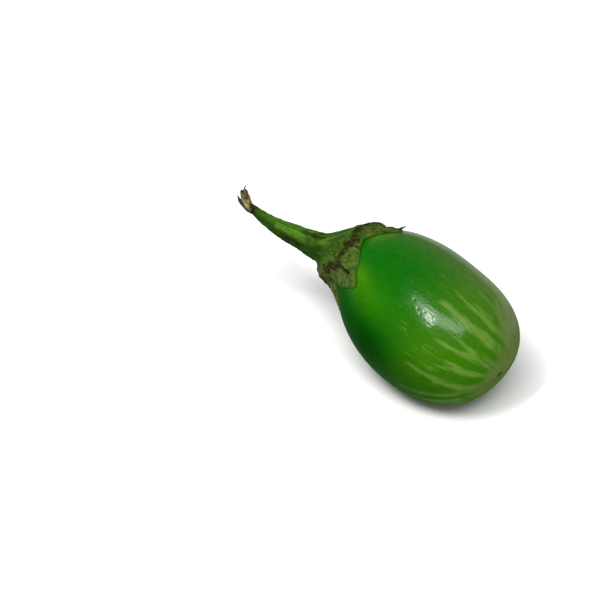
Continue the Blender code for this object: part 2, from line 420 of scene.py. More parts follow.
@dataclass(frozen=True)
class SkinFinish:
    """The berry's skin: deep green by the calyx, then pale feathered streaks that merge to olive.

    A size is in millimetres, its length before its width. Other spans say from where to where a mask grows.
    """

    deep_green: Colour = (0.002, 0.108, 0.0001)
    leaf_green: Colour = (0.029, 0.130, 0.001)
    warm_green: Colour = (0.024, 0.165, 0.0001)
    streak_green: Colour = (0.096, 0.200, 0.026)
    olive: Colour = (0.106, 0.160, 0.036)
    yellow_green: Colour = (0.052, 0.196, 0.001)
    speck_brown: Colour = (0.010, 0.012, 0.003)
    scar_brown: Colour = (0.070, 0.052, 0.018)
    dark_brush: Colour = (0.70, 0.80, 0.65)
    pale_brush: Colour = (1.38, 1.15, 1.25)
    # tint of the painted shade on the underside
    belly_shade_tint: Colour = (0.42, 0.50, 0.38)
    # tint of the painted shade on the near side
    side_shade_tint: Colour = (0.15, 0.50, 0.45)
    streak_size: Span = (8.0, 1.3)
    feather_size: Span = (3.0, 0.42)
    brush_size: Span = (4.0, 0.8)
    mottle_size: float = 3.2
    speck_gap: float = 5.5
    speck_group: float = 9.0
    pit_gap: float = 1.75
    wave_size: float = 3.0
    leaf_green_arc: Span = (40.0, 66.0)
    pale_span: Span = (0.20, 1.12)
    olive_span: Span = (0.25, 0.90)
    brush_span: Span = (-0.02, 0.40)
    relief: float = 0.00006
    roughness: float = 0.14
    dull_roughness: float = 0.5
    gloss: float = 0.20
    glow: float = 0.08
    glow_depth: float = 0.0010

    def make(self) -> Material:
        """Builds the skin's node tree.

        Returns:
            The material.
        """
        bench = Bench("striped_skin")
        stored = bench.stored
        place = bench.stored_vector("skin_place")
        arc = bench.node("ShaderNodeSeparateXYZ", None, {0: place})
        streaks = bench.drawn_out(place, self.streak_size, 3.0)
        feathers = bench.drawn_out(place, self.feather_size, 3.0)
        mottle = bench.grain(bench.place(), self.mottle_size, 4.0)
        ragged = streaks.swing(1.7) + feathers.swing(2.5)
        pale = (stored("paleness") + ragged).between(*self.pale_span) * stored("streaky")
        olive = (stored("oliveness") + streaks.swing(1.0)).between(*self.olive_span)
        colour = bench.coats(
            self.deep_green,
            (arc.between(*self.leaf_green_arc), self.leaf_green),
            (stored("warmth") * (0.55 + feathers * 0.6), self.warm_green),
            (stored("yellow") * (0.6 + feathers * 0.6), self.yellow_green),
            # painted sheen: an olive-grey wash on the upper far flank, standing in for a hazy reflection
            # there
            (stored("sheen_wash") * (0.7 + streaks * 0.6), self.olive),
            (pale, bench.mix(olive, self.streak_green, self.olive)),
        )
        brushed = mottle.swing(0.6) + feathers.swing(1.3)
        colour = bench.shade(colour, brushed.between(*self.brush_span), self.dark_brush)
        colour = bench.shade(colour, (0.0 - brushed).between(*self.brush_span), self.pale_brush)
        specks = 1 - bench.cells(place, self.speck_gap).between(0.035, 0.075)
        grouped = bench.grain(place, self.speck_group, 0.0).between(0.52, 0.56)
        colour = bench.coats(
            colour,
            (specks * grouped * stored("speckling"), self.speck_brown),
            (stored("speck") * 0.9, self.speck_brown),
            (stored("scar"), self.scar_brown),
        )
        # painted shade: the underside, reaching higher near the calyx, darkened by a tint
        colour = bench.shade(colour, stored("belly"), self.belly_shade_tint)
        # painted shade: a patch on the near side, darkened by a tint
        colour = bench.shade(colour, stored("side_shade"), self.side_shade_tint)
        pits = bench.cells(bench.place(), self.pit_gap).between(0.10, 0.50)
        waves = bench.grain(bench.place(), self.wave_size, 2.0)
        brush = bench.drawn_out(place, self.brush_size, 2.0)
        glossy = {
            "Base Color": colour,
            "Roughness": self.roughness + mottle.swing(0.08) + pale * 0.10 + stored("scar") * 0.4,
            "Normal": bench.bump(pits * 0.28 + waves * 0.55 + brush * 0.95, self.relief),
            **fresh_skin(self.gloss, self.glow, self.glow_depth),
        }
        dull = {"Roughness": self.dull_roughness, "Specular IOR Level": 0.0}
        return bench.surface(glossy, stored("dullness"), dull)


@dataclass(frozen=True)
class CalyxFinish:
    """The calyx and stem: fibrous green with tan and brown, corky at the crust, dry at the margin and neck.

    Sizes are in millimetres.
    """

    dark_green: Colour = (0.013, 0.056, 0.002)
    green: Colour = (0.038, 0.150, 0.004)
    pale_green: Colour = (0.122, 0.238, 0.030)
    lobe_dark: Colour = (0.022, 0.062, 0.006)
    lobe_green: Colour = (0.058, 0.110, 0.009)
    lobe_pale: Colour = (0.215, 0.215, 0.082)
    tan: Colour = (0.118, 0.122, 0.028)
    margin_tan: Colour = (0.115, 0.090, 0.022)
    brown: Colour = (0.044, 0.032, 0.008)
    crust_brown: Colour = (0.007, 0.005, 0.001)
    shaded_tint: Colour = (0.18, 0.24, 0.10)
    patch_size: float = 1.9
    crumb_size: float = 0.65
    cloud_size: float = 4.5
    tooth_size: float = 0.25
    relief: float = 0.00042
    roughness: float = 0.62
    gloss: float = 0.04
    glow: float = 0.05
    glow_depth: float = 0.0008

    def make(self) -> Material:
        """Builds the calyx's node tree.

        Returns:
            The material.
        """
        bench = Bench("fibrous_calyx")
        stored = bench.stored
        place = bench.place()
        fibres = bench.grain(bench.stored_vector("fibre_place"), 1.0, 4.0)
        patches = bench.grain(place, self.patch_size, 5.0, 0.8)
        crumbs = bench.grain(place, self.crumb_size, 3.0, 0.4)
        clouds = bench.grain(place, self.cloud_size, 3.0, 0.5)
        mottled = bench.coats(
            self.lobe_dark,
            (patches.between(0.36, 0.58), self.lobe_green),
            ((crumbs * 0.5 + patches * 0.5).between(0.49, 0.62) * 0.6, self.lobe_pale),
        )
        # pale green along the stem's ridges: partly their own paler skin, partly a painted highlight from
        # above
        pale_ridge_and_highlight = stored("ridge") + fibres.swing(1.6) + patches.swing(1.0)
        weathered = stored("weathering") + patches.swing(1.4) + clouds.swing(1.8)
        gloomy = clouds.swing(2.0) + patches.swing(1.2)
        flecks = crumbs + patches.swing(0.8)
        edge = stored("edge") + crumbs.swing(0.7) + clouds.swing(3.6)
        rust_and_shadow_share = stored("rust_and_shadow") * (1.0 + patches.swing(3.0) + crumbs.swing(1.2))
        broken = patches.swing(2.0) + clouds.swing(1.6) + crumbs.swing(0.8)
        by_crust = stored("cork").between(0.01, 0.14) * 0.92
        cork = (stored("cork") + broken).between(0.16, 0.72) * by_crust
        corky = bench.coats(
            self.crust_brown,
            ((crumbs * 0.4 + patches * 0.6).between(0.46, 0.60), self.brown),
            (crumbs.between(0.58, 0.70) * 0.6, self.tan),
        )
        dry = stored("dryness") + crumbs.swing(0.8) + fibres.swing(0.8)
        colour = bench.coats(
            self.dark_green,
            (fibres.between(0.36, 0.62), self.green),
            (0.12 + stored("lobes") * 0.88, mottled),
            (pale_ridge_and_highlight.between(0.20, 1.25), self.pale_green),
            (weathered.between(0.38, 0.80) * 0.85, self.tan),
            (gloomy.between(0.02, 0.45) * 0.75, self.dark_green),
            (flecks.between(0.60, 0.72) * 0.75, self.dark_green),
            (edge.between(0.75, 1.20) * 0.85, self.margin_tan),
            # brown rust patches, with one painted shadow line under a lobe's edge
            (rust_and_shadow_share.between(0.32, 0.85) * 0.85, self._browns(bench, crumbs, (0.4, 0.6))),
            (cork, corky),
            # painted shade: the slits' grooves darkened with the crust's brown
            (stored("slit").between(0.2, 0.8) * 0.9, self.crust_brown),
            (dry.between(0.25, 0.80), self._browns(bench, fibres, (0.4, 0.62))),
        )
        tooth = bench.grain(place, self.tooth_size)
        height = fibres * 0.8 + crumbs * 0.8 + patches * 0.6 + tooth * 0.25
        return bench.surface({
            "Base Color": bench.shade(colour, stored("shade"), self.shaded_tint),
            "Roughness": self.roughness + crumbs.swing(0.2) + cork * 0.15,
            "Normal": bench.bump(height, self.relief),
            **fresh_skin(self.gloss, self.glow, self.glow_depth),
        })

    def _browns(self, bench: Bench, grain: Term, span: Span) -> Term:
        """The two browns of dead skin, mixed by a noise."""
        return bench.mix(grain.between(*span), self.crust_brown, self.brown)


class DryTone(Enum):
    """The tones of the stem's dried end and of the dried lobe tip: the inner colour, then the rim's."""

    HUSK = ((0.260, 0.225, 0.080), (0.050, 0.036, 0.013))
    STRIP = ((0.022, 0.017, 0.011), (0.006, 0.005, 0.004))
    FIBRE = ((0.120, 0.100, 0.060), (0.055, 0.042, 0.026))
    TIP = ((0.030, 0.024, 0.015), (0.006, 0.005, 0.004))


@dataclass(frozen=True)
class DryFinish:
    """Dried plant skin: papery, streaked lengthwise, darker at its rims."""

    tone: DryTone
    blotch_size: float = 0.9
    relief: float = 0.00015
    roughness: float = 0.75
    gloss: float = 0.3

    def make(self) -> Material:
        """Builds the dried skin's node tree in its tone.

        Returns:
            The material.
        """
        inner, rim = self.tone.value
        bench = Bench("dry_" + self.tone.name.lower())
        blotches = bench.grain(bench.place(), self.blotch_size, 3.0, 0.5)
        threads = bench.grain(bench.stored_vector("fibre_place"), 1.0, 3.0)
        shade = bench.stored("rim") + blotches.swing(1.1) + threads.swing(0.7)
        return bench.surface({
            "Base Color": bench.mix(shade.between(0.25, 0.85), inner, rim),
            "Roughness": self.roughness + blotches.swing(0.2),
            "Normal": bench.bump(threads + blotches * 0.5, self.relief),
            "Specular IOR Level": self.gloss,
        })


@dataclass(frozen=True)
class FloorFinish:
    """The studio's pale matt floor."""

    colour: Colour = (0.975, 0.975, 0.97)
    shaded: Colour = (0.955, 0.955, 0.95)
    tooth_size: float = 6.0
    roughness: float = 0.9
    gloss: float = 0.1

    def make(self) -> Material:
        """Builds the floor's node tree.

        Returns:
            The material.
        """
        bench = Bench("pale_floor")
        colour = bench.mix(bench.grain(bench.place(), self.tooth_size), self.colour, self.shaded)
        return bench.surface({
            "Base Color": colour,
            "Roughness": self.roughness,
            "Specular IOR Level": self.gloss,
        })


@dataclass(frozen=True)
class BerryShape:
    """The berry's form: round rings on two superellipse halves, whose middle line sags towards the belly."""

    girth_radius: float
    blossom_half: float = 0.03266
    calyx_half: float = 0.03583
    blossom_fullness: float = 2.36
    calyx_fullness: float = 2.17
    belly_sag: float = 0.00348
    lean: float = radians(11.6)
    flat_depth: float = 0.0013
    steps: int = 400

    def _half(self, half: float, fullness: float, turn: Array) -> tuple[Array, Array]:
        """Place along the axis and radius of one half, for turns from its widest ring to its pole."""
        return half * np.sin(turn), self.girth_radius * (1 - np.sin(turn) ** fullness) ** (1 / fullness)

    @cached_property
    def profile(self) -> tuple[Array, Array, Array, Array, Array]:
        """The berry's outline from the calyx pole to the blossom pole.

        Returns:
            Arc, place along the axis and radius, and the slopes of the last two.
        """
        turn = np.linspace(0, pi / 2, self.steps)
        calyx_x, calyx_r = self._half(self.calyx_half, self.calyx_fullness, turn[::-1])
        blossom_x, blossom_r = self._half(self.blossom_half, self.blossom_fullness, turn[1:])
        x = np.concatenate([-calyx_x, blossom_x])
        r = np.concatenate([calyx_r, blossom_r])
        arc = np.concatenate([[0], np.cumsum(np.hypot(np.diff(x), np.diff(r)))])
        return arc, x, r, np.gradient(x, arc), np.gradient(r, arc)

    @property
    def reach(self) -> float:
        """The arc from pole to pole."""
        return float(self.profile[0][-1])

    def radius(self, arc: Array | float) -> Array:
        """The radius of the ring at this arc."""
        return np.interp(arc, self.profile[0], self.profile[2])

    def on_skin(self, arc: Array | float, angle: Array | float, height: Array | float = 0.0) -> Array:
        """Places on the skin, in the berry's axes.

        Args:
            arc: distance from the calyx pole along the skin.
            angle: angle round the axis, in radians.
            height: how far the place is raised along the skin's normal.

        Returns:
            The places, with the three coordinates on the last axis.
        """
        arc, angle, height = np.broadcast_arrays(
            np.asarray(arc, float), np.asarray(angle, float), np.asarray(height, float)
        )
        arcs = self.profile[0]
        x, r, dx, dr = (np.interp(arc, arcs, values) for values in self.profile[1:])
        rise = self.belly_sag * (x / self.blossom_half) ** 2
        slope = 2 * self.belly_sag * x / self.blossom_half**2
        outward = [-(dr + slope * dx * np.sin(angle)), dx * np.cos(angle), dx * np.sin(angle)]
        point = np.stack([x, r * np.cos(angle), r * np.sin(angle) + rise], -1)
        return point + height[..., None] * unit(np.stack(outward, -1))

    @cached_property
    def leaned(self) -> Array:
        """The turn from the berry's axes to the world's."""
        c, s = cos(self.lean), sin(self.lean)
        return np.array([[c, 0, s], [0, 1, 0], [-s, 0, c]])

    @cached_property
    def rest_point(self) -> Array:
        """The middle of the flat spot, above the lowest place of the belly.

        Returns:
            The place in the berry's axes.
        """
        belly = self.on_skin(self.profile[0], -pi / 2)
        lowest = (belly @ self.leaned.T)[:, 2].argmin()
        return belly[lowest] + self.flat_depth * self.leaned[2]

    def to_world(self, points: Array) -> Array:
        """Places in the berry's axes, turned and moved to the world's."""
        return (points - self.rest_point) @ self.leaned.T

    @property
    def calyx_pole(self) -> Array:
        """The pole that the stem grows from, in the berry's axes."""
        return self.on_skin(0.0, 0.0)


@dataclass(frozen=True)
class Patch:
    """A soft patch of skin: its angle in degrees, where it lies lengthwise, and half its size each way."""

    angle: float
    at_mm: float
    half_turn: float
    half_length_mm: float
    strength: float = 1.0

    def mask(self, angle: Array, along_mm: Array) -> Array:
        """How strongly the patch covers each place."""
        across = hump(turn_away(angle, self.angle), 0, self.half_turn)
        return self.strength * across * hump(along_mm, self.at_mm, self.half_length_mm)


def strongest(patches: Sequence[Patch], angle: Array, along_mm: Array) -> Array:
    """The strongest of some patches at each place."""
    return np.max([patch.mask(angle, along_mm) for patch in patches], axis=0)


@dataclass(frozen=True)
class Streak:
    """A streak of the skin: places as angle in degrees and arc in millimetres, its width and its strength.

    A strength above zero is pale and one below zero dark.
    """

    line: tuple[Span, ...]
    width_mm: float
    strength: float = 1.0

    def mask(self, berry: BerryShape, arc_mm: Array, angle: Array) -> Array:
        """How strongly the streak covers each place.

        Args:
            berry: the berry that carries it.
            arc_mm: arcs of the places in millimetres.
            angle: angles of the places in radians.

        Returns:
            From 0 to the strength's size.
        """
        angles, arcs = zip(*self.line)
        middle = np.interp(arc_mm, arcs, angles)
        across = np.radians(turn_away(angle, middle)) * berry.radius(arc_mm / MM) * MM
        share = np.clip((arc_mm - arcs[0]) / (arcs[-1] - arcs[0]), 0, 1)
        width = self.width_mm * (0.35 + 0.8 * share)
        starting = smooth_share(arc_mm, arcs[0] - 3, arcs[0] + 2)
        ending = 1 - smooth_share(arc_mm, arcs[-1] - 2, arcs[-1] + 4)
        return abs(self.strength) * hump(across, 0, width) * starting * ending


@dataclass
class FruitSkin:
    """The berry's skin with its streaks, faint swellings, scar at the blossom end, and flat spot."""

    berry: BerryShape
    rings: int = 190
    columns: int = 300
    swelling: float = 0.00016
    swelling_size: float = 0.013
    scar_radius_mm: float = 1.5
    scar_depth: float = 0.0005
    streaks: tuple[Streak, ...] = (
        Streak(((96, 57), (96, 64), (94, 70), (90, 77)), 1.2),
        Streak(((91, 64), (88, 72)), 0.8, 0.8),
        Streak(((78, 62), (77, 68), (73, 74)), 0.6, 0.6),
        Streak(((110, 56), (110, 65), (108, 72), (105, 80)), 2.3, 1.15),
        Streak(((137, 64), (135, 71), (131, 79)), 1.3, 1.1),
        Streak(((126, 69), (128, 77)), 1.2, 1.0),
        Streak(((156, 69), (153, 74), (152, 85)), 1.3, 1.05),
        Streak(((148, 70), (150, 76)), 0.9, 1.0),
        Streak(((167, 60), (169, 66), (174, 74), (183, 86)), 1.7, 1.15),
        Streak(((193, 66), (199, 80)), 0.9, 0.8),
        Streak(((148, 58), (147, 67)), 0.7, 0.45),
        Streak(((160, 58), (161, 67)), 0.7, 0.4),
        Streak(((123, 56), (122, 66)), 0.8, 0.45),
        Streak(((102, 72), (95, 77), (86, 83)), 1.0, -1.1),
        Streak(((120, 70), (116, 77), (112, 85)), 0.9, -1.1),
        Streak(((119, 69), (118, 73)), 1.6, -1.0),
        Streak(((143, 73), (142, 85)), 1.1, -1.0),
        Streak(((163, 72), (164, 85)), 1.2, -1.0),
        Streak(((131, 66), (131, 72)), 0.9, -1.0),
        Streak(((84, 66), (82, 76)), 1.1, -0.9),
        Streak(((103, 58), (101, 70)), 1.3, -0.5),
    )
    merging: tuple[Span, ...] = (
        (20, 68), (60, 64), (75, 69), (89, 76), (104, 82),
        (129, 80), (156, 84), (185, 80), (230, 82), (300, 72),
    )
    merged_pale: float = 0.85
    faint_pale: float = 0.14
    lobe_yellow: Patch = Patch(141, 26.5, 10, 5)
    cup_yellow: Patch = Patch(88, 18, 16, 5, 0.8)
    # where the painted shade on the near side lies
    side_shade: Patch = Patch(178, 44, 22, 11)
    warmth: Patch = Patch(147, 34, 15, 13)
    speck: Patch = Patch(114, 25.0, 0.9, 0.32)
    # strength of the painted sheen on the upper far flank
    sheen_wash: float = 0.52
    dullness: float = 0.94
    hidden_turns: tuple[float, float, float] = (200.0, 425.0, 12.5)
    seed: int = 11

    def _all_streaks(self) -> list[Streak]:
        """Adds streaks like the picture's round the rest of the berry, in pairs of a pale and a dark one.

        Returns:
            All the streaks.
        """
        draw = np.random.default_rng(self.seed)
        made = list(self.streaks)
        for middle in np.arange(*self.hidden_turns):
            angle = middle + draw.uniform(-3.5, 3.5)
            start = draw.uniform(54, 63)
            end = draw.uniform(74, 84)
            lean = draw.uniform(-5, 5)
            pale_line = ((angle, start), (angle + lean, end))
            made.append(Streak(pale_line, draw.uniform(1.2, 2.4), draw.uniform(0.8, 1.1)))
            dark_line = ((angle + 6, start + 11), (angle + 6 + lean, end + 3))
            made.append(Streak(dark_line, draw.uniform(0.7, 1.1), -0.8))
        return made

    def _values(self, arcs: Array, angles: Array) -> dict[str, Array]:
        """The numbers that the finish reads.

        Args:
            arcs: the grid's arcs.
            angles: its angles in radians.

        Returns:
            Numbers and vectors by name, laid out as the grid.
        """
        arc_mm = arcs * MM
        end_mm = (self.berry.reach - arcs) * MM
        pale, dark = np.zeros((2, *arc_mm.shape))
        for streak in self._all_streaks():
            cover = pale if streak.strength > 0 else dark
            np.maximum(cover, streak.mask(self.berry, arc_mm, angles), out=cover)
        turns, starts = zip(*self.merging)
        past_merging = arc_mm - np.interp(np.degrees(angles), turns, starts, period=360)
        pale = np.maximum(pale, self.merged_pale * smooth_share(past_merging, -5, 6))
        pale += self.faint_pale * smooth_share(arc_mm, 48, 60)
        # painted shade on the underside, which reaches higher near the calyx
        by_calyx = 0.25 * (1 - smooth_share(arc_mm, 26, 50))
        belly = smooth_share(-np.sin(angles), -0.60 - by_calyx, 0.35 - by_calyx)
        far_side = hump(turn_away(angles, 34), 0, 30)
        far_top = hump(turn_away(angles, 52), 0, 30)
        girth_mm = self.berry.girth_radius * MM
        outward = self.berry.on_skin(arcs, angles, 1.0) - self.berry.on_skin(arcs, angles)
        upward = (unit(outward) @ self.berry.leaned.T)[..., 2]
        return {
            "paleness": pale - dark * (1 - 0.6 * smooth_share(past_merging, 4, 14)),
            "streaky": smooth_share(arc_mm, 36, 52),
            # painted sheen on the upper far flank
            "sheen_wash": self.sheen_wash * far_top * smooth_share(arc_mm, 8, 26),
            "yellow": strongest((self.lobe_yellow, self.cup_yellow), angles, arc_mm),
            "side_shade": self.side_shade.mask(angles, arc_mm),
            "oliveness": smooth_share(past_merging, -3, 8),
            "warmth": self.warmth.mask(angles, arc_mm),
            "belly": belly * (1 - 0.58 * smooth_share(arc_mm, 62, 84)),
            "dullness": self.dullness * np.maximum(1 - smooth_share(upward, 0.26, 0.76), 0.9 * far_side),
            "speckling": smooth_share(arc_mm, 70, 86),
            "scar": 1 - smooth_share(end_mm, 0.7, self.scar_radius_mm),
            "speck": self.speck.mask(angles, arc_mm),
            "skin_place": np.stack([arc_mm, girth_mm * np.cos(angles), girth_mm * np.sin(angles)], -1),
        }

    def _heights(self, points: Array, arcs: Array) -> Array:
        """How far the skin stands off the plain form: faint swellings, and the scar's hollow and rim.

        Args:
            points: places on the plain form, in the berry's axes.
            arcs: their arcs.

        Returns:
            Heights along the normal.
        """
        end_mm = (self.berry.reach - arcs) * MM
        hollow = -self.scar_depth * hump(end_mm, 0, self.scar_radius_mm)
        rim = 0.25 * self.scar_depth * hump(end_mm, 1.6 * self.scar_radius_mm, 0.6 * self.scar_radius_mm)
        return self.swelling * soft_noise(points, self.swelling_size) + hollow + rim

    def build(self) -> Object:
        """Builds the skin, in place of the CAD berry.

        Returns:
            The piece.
        """
        arcs = np.linspace(0, self.berry.reach, self.rings + 2)[1:-1]
        angles = np.linspace(0, 2 * pi, self.columns, endpoint=False)
        arcs, angles = np.meshgrid(arcs, angles, indexing="ij")
        heights = self._heights(self.berry.on_skin(arcs, angles), arcs)
        rings = self.berry.to_world(self.berry.on_skin(arcs, angles, heights))
        rings[..., 2] = np.maximum(rings[..., 2], 0)
        mesh = skin_rings("fruit_skin", rings, self._values(arcs, angles))
        piece = add_piece("fruit_skin", mesh, SkinFinish().make())
        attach(piece, BODY)
        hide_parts("fruit")
        return piece


@dataclass(frozen=True)
class Lobe:
    """A pointed lobe of the calyx: its middle's angle, half its width in degrees, how far its tip reaches.

    Its fullness is 0 for straight sides and 1 for sides that swell outward. Its point is the share of its
    length that a thin tip makes up, within a few degrees of the middle.
    """

    middle: float
    half_width: float
    tip: float
    fullness: float
    point: float = 0.13
    point_half_turn: float = 6.0

    def reach(self, angle: Array) -> Array:
        """The lobe's outline.

        Args:
            angle: angles round the axis, in radians.

        Returns:
            From 0 at the lobe's foot to 1 at its tip.
        """
        turn = turn_away(angle, self.middle)
        share = np.clip(1 - abs(turn) / self.half_width, 0, 1)
        sides = (1 - self.fullness) * share**1.12 + self.fullness * np.sin(pi / 2 * share) ** 1.45
        return (1 - self.point) * sides + self.point * hump(turn, 0, self.point_half_turn)


def rounded(values: Array, reach: int) -> Array:
    """Evens out values round a circle.

    Args:
        values: one for each step round it.
        reach: how many neighbours on each side are averaged in.

    Returns:
        The evened values.
    """
    shifts = np.arange(-reach, reach + 1)
    weights = hump(shifts, 0, reach / 2)
    return sum(weight * np.roll(values, shift) for shift, weight in zip(shifts, weights)) / weights.sum()


@dataclass
class CalyxAndStem:
    """The calyx and stem, grown as one piece: a cup with lobes, a corky crust, a funnel and a ridged stem.

    Rust with one painted shadow line, slits, swellings and the hollow lie at a distance past the crust,
    below zero on the lobes. The cork line gives angle, distance past the crust and half width; a ridge, its
    angle, half width and strength.
    """

    berry: BerryShape
    columns: int = 320
    gap: float = 0.00020
    cup_reach: float = 0.0134
    edge_thickness: float = 0.00028
    rounding: int = 4
    raggedness: tuple[Span, ...] = ((0.00035, 0.20), (0.00018, 0.06))
    lobe_slope: float = 1.5
    tip_lift: float = 0.0004
    tip_lift_from: float = 0.019
    tip_lift_to: float = 0.026
    crease_reach: float = 0.0129
    crease_height: float = 0.0030
    crust_reach: float = 0.0115
    crust_height: float = 0.0045
    crust_swell: float = 0.0030
    crease_swell: float = 0.0016
    swell_turn: float = 215.0
    lobes: tuple[Lobe, ...] = (
        Lobe(69, 31, 0.0238, 1.0),
        Lobe(149, 42, 0.0286, 0.55),
        Lobe(227, 36, 0.0252, 0.4),
        Lobe(293, 34, 0.0266, 0.5),
        Lobe(359, 35, 0.0252, 0.35),
    )
    stem_line: tuple[Point, ...] = (
        (0.0000, -0.0009, -0.0010),
        (-0.0084, -0.0049, -0.0032),
        (-0.0199, -0.0083, -0.0048),
        (-0.0348, -0.0111, -0.0055),
        (-0.0421, -0.0125, -0.0040),
    )
    stem_radii: tuple[Span, ...] = (
        (0.0135, 0.0049), (0.0205, 0.0036), (0.0275, 0.0031),
        (0.0330, 0.0025), (0.0380, 0.0020), (0.0438, 0.0013),
    )
    stem_ridges: int = 5
    ridge_share: float = 0.07
    ridge_turn: float = 1.0
    funnel_inward: float = 0.0085
    funnel_outward: float = 0.0021
    funnel_along: float = 0.0100
    # ridges: raised on the stem, and painted pale there, partly as a painted highlight
    ridges: tuple[Point, ...] = (
        (116, 20, 0.8), (72, 12, 0.45), (150, 9, 0.3), (205, 12, 0.5), (262, 12, 0.5), (318, 13, 0.6),
    )
    # rust patches; one of them is a painted shadow under the near lobe's lifted edge
    rust_and_shadow: tuple[Patch, ...] = (
        Patch(92, 19.6, 15, 2.4, 1.2),
        Patch(97, 15.8, 15, 2.4, 1.3),
        Patch(98, 12.0, 10, 2.0, 1.0),
        Patch(60, 27.0, 16, 8.0, 1.0),
        Patch(168, 23.0, 15, 7.0, 1.1),
        Patch(63, -6.0, 9, 5.5, 1.3),
        # painted shadow: the dark line under the near lobe's lifted edge
        Patch(82, -8.5, 3, 3.5, 0.9),
        Patch(85, 6.0, 16, 3.5, 0.7),
        Patch(125, 3.0, 20, 2.0, 0.5),
        Patch(250, 17.0, 14, 4.0),
        Patch(330, 10.0, 12, 4.0),
        Patch(50, 22.0, 12, 9.0, 0.55),
    )
    cork_line: tuple[Point, ...] = (
        (20, -1.0, 0.6), (50, -0.3, 0.6), (75, 0.1, 0.8), (92, -0.1, 0.9), (106, -0.7, 1.2),
        (112, -1.6, 1.2), (124, -2.2, 1.5), (133, -1.9, 1.7), (142, -1.8, 2.3), (150, -3.4, 2.6),
        (158, -3.2, 1.9), (170, -1.4, 0.9), (200, -1.0, 0.8), (230, -2.0, 1.3), (262, -0.8, 0.7),
        (293, -1.9, 1.4), (325, -0.6, 0.7), (352, -2.0, 1.2),
    )
    # grooves, which the finish also paints dark as shade
    slits: tuple[Patch, ...] = (
        Patch(148.5, -8.8, 2.0, 3.4, 1.2),
        Patch(152, -4.5, 2.5, 2.0, 1.0),
        Patch(136, -5.6, 1.6, 1.0, 0.9),
        Patch(122, -4.2, 1.6, 0.8, 0.8),
        Patch(236, -5.5, 1.6, 1.2, 0.9),
        Patch(291, -9.5, 1.4, 3.0, 1.0),
    )
    swellings: tuple[Patch, ...] = (Patch(78, 22, 32, 8, 0.00075), Patch(200, 5, 26, 5, 0.00110))
    hollow: Patch = Patch(66, -2, 24, 5, -0.00070)
    shaded: float = 0.97
    shaded_half_turn: float = 68.0
    lump_height: float = 0.00035
    crumb_height: float = 0.00012
    cork_height: float = 0.00055
    slit_depth: float = 0.00070
    fibre_height: float = 0.00015
    stem_lump_height: float = 0.00012
    ridge_height: float = 0.00022
    rib_height: float = 0.00022
    rib_radius_mm: float = 16.0
    underside_rings: int = 8
    lobe_rings: int = 34
    crust_rings: int = 9
    funnel_rings: int = 36
    stem_rings: int = 84

    def margin(self, angle: Array) -> Array:
        """The ragged margin, which is the cup's, or that of the lobe that stands there.

        Args:
            angle: angles round the axis, in radians.

        Returns:
            How far the margin lies from the pole.
        """
        reach = np.full_like(angle, self.cup_reach)
        for lobe in self.lobes:
            reach = np.maximum(reach, self.cup_reach + lobe.reach(angle) * (lobe.tip - self.cup_reach))
        circle = np.stack([np.cos(angle), np.sin(angle), np.zeros_like(angle)], -1)
        ragged = sum(height * soft_noise(circle, size) for height, size in self.raggedness)
        return rounded(reach, self.rounding) + ragged

    def bulge(self, angle: Array) -> Array:
        """From 0 to 1, how much of its extra height the calyx has at this angle: it bulges on one side."""
        return (0.5 + 0.5 * np.cos(angle - radians(self.swell_turn))) ** 2

    def lift(self, arc: Array) -> Array:
        """How far the lobes rise off the skin towards their tips."""
        share = (arc - self.tip_lift_from) / (self.tip_lift_to - self.tip_lift_from)
        return self.tip_lift * np.clip(share, 0, 1) ** 2

    def lobe_ring(self, share: float, angle: Array, margin: Array) -> Array:
        """A ring on the lobes' outer side.

        Args:
            share: 0 at the margin, 1 at the crease.
            angle: the columns' angles.
            margin: how far the margin lies from the pole at each.

        Returns:
            The ring's points in the berry's axes.
        """
        arc = margin + share * (self.crease_reach - margin)
        edge = self.gap + self.edge_thickness * (0.35 + 0.65 * min(1.0, share * 8) ** 0.5)
        crease = self.crease_height + self.crease_swell * self.bulge(angle)
        height = edge + self.lift(arc) + (crease - edge) * share**self.lobe_slope
        return self.berry.on_skin(arc, angle, height)

    def stem_ring(self, along: float, angle: Array) -> Array:
        """A ring of the stem.

        Args:
            along: its distance along the stem's line.
            angle: the columns' angles.

        Returns:
            The ring's points in the berry's axes.
        """
        middle, direction = smooth_line(self.stem_line, along)
        across = unit(np.array([0, 1, 0]) - direction[1] * direction)
        upward = np.cross(across, direction)
        places, radii = zip(*self.stem_radii)
        ridges = 1 + self.ridge_share * np.cos(self.stem_ridges * angle + self.ridge_turn)
        radius = (np.interp(along, places, radii) * ridges)[:, None]
        turn = np.cos(angle)[:, None] * across + np.sin(angle)[:, None] * upward
        return self.berry.calyx_pole + middle + radius * turn

    def funnel_ring(self, share: float, angle: Array) -> Array:
        """A ring of the funnel, which follows a curve from the crust to the stem's first ring.

        Args:
            share: 0 at the crust, 1 at the stem's first ring.
            angle: the columns' angles.

        Returns:
            The ring's points in the berry's axes.
        """
        height = self.crust_height + self.crust_swell * self.bulge(angle)
        start = self.berry.on_skin(self.crust_reach, angle, height)
        outward = (start - self.berry.on_skin(self.crust_reach, angle)) / height[:, None]
        inward = unit(self.berry.on_skin(self.crust_reach - 0.00035, angle, height) - start)
        first = self.stem_radii[0][0]
        end = self.stem_ring(first, angle)
        leave = self.funnel_inward * inward + self.funnel_outward * outward
        arrive = self.funnel_along * smooth_line(self.stem_line, first)[1]
        near = share**2 * (3 - 2 * share)
        bend = share * (1 - share) * ((1 - share) * leave - share * arrive)
        return (1 - near) * start + near * end + bend

